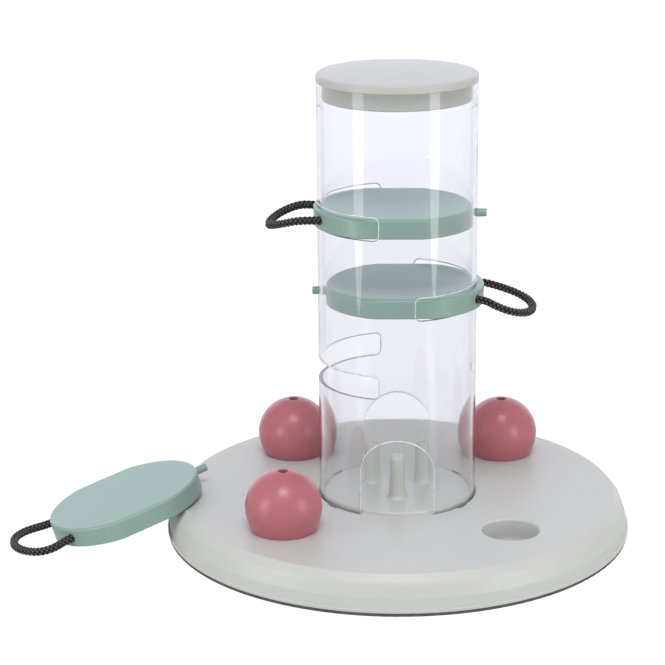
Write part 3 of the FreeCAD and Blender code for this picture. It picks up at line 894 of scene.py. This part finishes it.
def clear_plastic():
    """The tube's walls: clear, slightly wavy, and grey where one looks along them, partly as
    painted shade.
    """
    material, net = new_material("clear_plastic")
    place = net.add("ShaderNodeTexCoord", out="Object")
    stretched = net.vector("MULTIPLY", place, (1.0, 1.0, 3.0))
    smears = net.noise(stretched, 55.0, Detail=6.0, Distortion=1.2)
    ridges = (smears - 0.5).math("ABSOLUTE")
    sockets = {"Value": ridges, "From Min": 0.0, "From Max": 0.06, "To Min": 0.08, "To Max": 0.012}
    wiped = net.add("ShaderNodeMapRange", {}, sockets)
    ripple = net.noise(place, 24.0, Detail=1.0)
    bump = net.bump(ripple, strength=0.12, distance=0.8 * MM)
    turned_away = net.add("ShaderNodeLayerWeight", {}, {"Blend": 0.5}, out="Facing")
    # painted shade: the walls darken towards their edges, beyond what the longer path gives
    tint = net.ramp(turned_away, *EDGE_TINT_AND_SHADE)
    shader = net.principled(tint, wiped, Transmission_Weight=1.0, IOR=TUBE_IOR, Normal=bump)
    let_lamps_through(net, shader, (0.93, 0.94, 0.95, 1.0))
    return material


def frosted_cut():
    """The saw-marked cuts: half clear, half pale."""
    material, net = new_material("frosted_cut_plastic")
    place = net.add("ShaderNodeTexCoord", out="Object")
    saw = net.noise(place, 900.0, Detail=3.0)
    bump = net.bump(saw, strength=0.3, distance=0.1 * MM)
    clear = net.principled(
        (0.97, 0.98, 0.99, 1.0), saw * 0.2 + 0.25, Transmission_Weight=1.0, IOR=TUBE_IOR,
        Normal=bump,
    )
    bright = net.principled((0.42, 0.43, 0.41, 1.0), 0.35, Normal=bump)
    both = net.add("ShaderNodeMixShader", {}, {0: saw * 0.3 + 0.4, 1: clear, 2: bright})
    let_lamps_through(net, both, (0.85, 0.87, 0.88, 1.0))
    return material


def painted_edge_highlight_material():
    """A painted highlight: the bright line along a cut's corner."""
    material, net = new_material("painted_edge_highlight")
    place = net.add("ShaderNodeTexCoord", out="Object")
    nicks = net.noise(place, 350.0, Detail=4.0)
    # painted highlight: a pale matte colour that the clear plastic doesn't have, laid where its
    # corners shine
    colour = net.ramp(nicks, (0.3, (0.55, 0.57, 0.57, 1)), (0.6, (0.86, 0.88, 0.88, 1)))
    net.output(net.principled(colour, nicks * 0.2 + 0.2))
    return material


def beads(chains, radius):
    """A thin round bead along each chain of points, as one plain mesh."""
    curve = bpy.data.curves.new("edge_line", "CURVE")
    curve.dimensions = "3D"
    curve.bevel_depth = radius
    curve.bevel_resolution = 2
    curve.use_fill_caps = True
    for chain in chains:
        spline = curve.splines.new("POLY")
        spline.points.add(len(chain) - 1)
        for place, point in zip(spline.points, chain):
            place.co = (*point, 1.0)
    line = link(bpy.data.objects.new("edge_line", curve))
    bead = as_mesh(line, "tube_painted_edge_highlights")
    drop(line)
    for face in bead.data.polygons:
        face.use_smooth = True
    return bead


tube.data.materials.append(clear_plastic())
tube.data.materials.append(frosted_cut())
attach(tube, "tube")
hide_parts("clear_tube")
# a painted highlight: a pale bead along each rim that faces light
painted_edge_highlights = beads(tube_rims, BEAD_RADIUS)
painted_edge_highlights.data.materials.clear()
painted_edge_highlights.data.materials.append(painted_edge_highlight_material())
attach(painted_edge_highlights, "tube")
print("tube materials:", [material.name for material in tube.data.materials])
print("lit edges:", len(painted_edge_highlights.data.polygons), "faces along", len(tube_rims), "cuts")

# %% [markdown]
# ## Floor and light
#
# The photograph is a bright studio shot on white. The table and the space behind it
# look white to the camera alone, which Light Path's "Is Camera Ray" tells. To all other
# rays the table glows a little, more towards the back, and the space round it is pale.
# Broad soft light comes from above and from a low wall behind, and level faces mirror
# that wall at a flat angle, so they look cooler than their sides. On each side a soft
# fill lights dull surfaces only, and a tall narrow strip shows in mirrors only: it draws
# the upright streak on the tube and the highlights on the domes.

# %% Floor and lights
FRONT_GLOW = (0.3, 0.3, 0.3, 1.0)
BACK_GLOW = (0.435, 0.44, 0.455, 1.0)
GLOW_FROM_Y = -0.35
GLOW_TO_Y = 0.1
WHITE = (1.0, 1.0, 1.0, 1.0)
TABLE_WHITE = 1.15
WHITE_SHARE = 0.85
FLOOR_HALF = 6.0
FLOOR_DROP = 0.2 * MM
WORLD_GLOW = 0.59


def pale_floor():
    """A table that glows at the back, and that the camera sees nearly evenly white."""
    material, net = new_material("pale_floor")
    place = net.add("ShaderNodeTexCoord", out="Object")
    depth = net.add("ShaderNodeSeparateXYZ", {}, {"Vector": place}, out="Y")
    sockets = {"Value": depth, "From Min": GLOW_FROM_Y, "From Max": GLOW_TO_Y}
    share = net.add("ShaderNodeMapRange", {}, sockets)
    glow = net.ramp(share, (0.0, FRONT_GLOW), (1.0, BACK_GLOW))
    lit = net.principled((0.3, 0.3, 0.3, 1.0), 0.2, Emission_Color=glow, Emission_Strength=1.0)
    white = net.add("ShaderNodeEmission", {}, {"Color": WHITE, "Strength": TABLE_WHITE})
    seen = net.add("ShaderNodeLightPath", out="Is Camera Ray")
    net.output(net.add("ShaderNodeMixShader", {}, {0: seen * WHITE_SHARE, 1: lit, 2: white}))
    return material


def studio_world():
    """A pale space round the table, which is white to the camera."""
    world = bpy.data.worlds.new("studio")
    world.use_nodes = True
    world.node_tree.nodes.clear()
    net = Net(world.node_tree)
    sockets = {"Color": (1.0, 0.955, 0.98, 1.0), "Strength": WORLD_GLOW}
    glow = net.add("ShaderNodeBackground", {}, sockets)
    white = net.add("ShaderNodeBackground", {}, {"Color": WHITE, "Strength": 1.0})
    seen = net.add("ShaderNodeLightPath", out="Is Camera Ray")
    both = net.add("ShaderNodeMixShader", {}, {0: seen, 1: glow, 2: white})
    net.add("ShaderNodeOutputWorld", {}, {"Surface": both})
    return world


floor_mesh = bpy.data.meshes.new("floor")
grid = bmesh.new()
bmesh.ops.create_grid(grid, x_segments=2, y_segments=2, size=FLOOR_HALF)
grid.to_mesh(floor_mesh)
grid.free()
floor_mesh.materials.append(pale_floor())
floor = link(bpy.data.objects.new("floor", floor_mesh))
floor.location.z = -FLOOR_DROP
bpy.context.scene.world = studio_world()

# what doesn't see a light, besides the camera
SOFT_ONLY = ("glossy", "transmission")
MIRROR_ONLY = ("diffuse", "transmission")
# name: place, size, watts, colour, what it faces, what doesn't see it
LIGHTS = {
    "top_box": (
        (0.0, -1.1, 2.2), (0.90, 0.80), 24, (0.87, 0.86, 1.0), (0, 0, 0.03), ("transmission",)
    ),
    "wall_light": ((0.0, 2.9, 0.9), (5.0, 1.8), 28, (0.71, 0.83, 1.0), (0, 0, 0.9), ()),
    "left_fill": (
        (-0.857, -0.515, 0.17), (0.29, 0.26), 1.68, (0.93, 1.0, 0.84), (0, 0, 0.17), SOFT_ONLY
    ),
    "right_fill": (
        (0.76, -0.65, 0.17), (0.50, 0.24), 1.9, (0.93, 1.0, 0.85), (0, 0, 0.17), SOFT_ONLY
    ),
    "left_strip": (
        (-0.364, -0.264, 0.15), (0.13, 0.28), 0.33, (0.99, 1.0, 0.97), (0, 0, 0.15), MIRROR_ONLY
    ),
    "right_strip": (
        (0.355, -0.277, 0.16), (0.12, 0.28), 0.34, (0.99, 1.0, 0.97), (0, 0, 0.16), MIRROR_ONLY
    ),
}


def soft_light(name, place, size, power, colour, target, hidden):
    """An area light that faces its target and isn't seen itself; a strip is an ellipse."""
    light = bpy.data.lights.new(name, "AREA")
    light.shape = "ELLIPSE" if name.endswith("strip") else "RECTANGLE"
    light.size, light.size_y = size
    light.energy = power
    light.color = colour
    obj = link(bpy.data.objects.new(name, light))
    obj.location = place
    obj.rotation_euler = (Vector(target) - Vector(place)).to_track_quat("-Z", "Y").to_euler()
    for kind in ("camera",) + hidden:
        setattr(obj, "visible_" + kind, False)


for name, values in LIGHTS.items():
    soft_light(name, *values)
bpy.context.scene.view_settings.view_transform = "Standard"
bpy.context.scene.view_settings.look = "None"
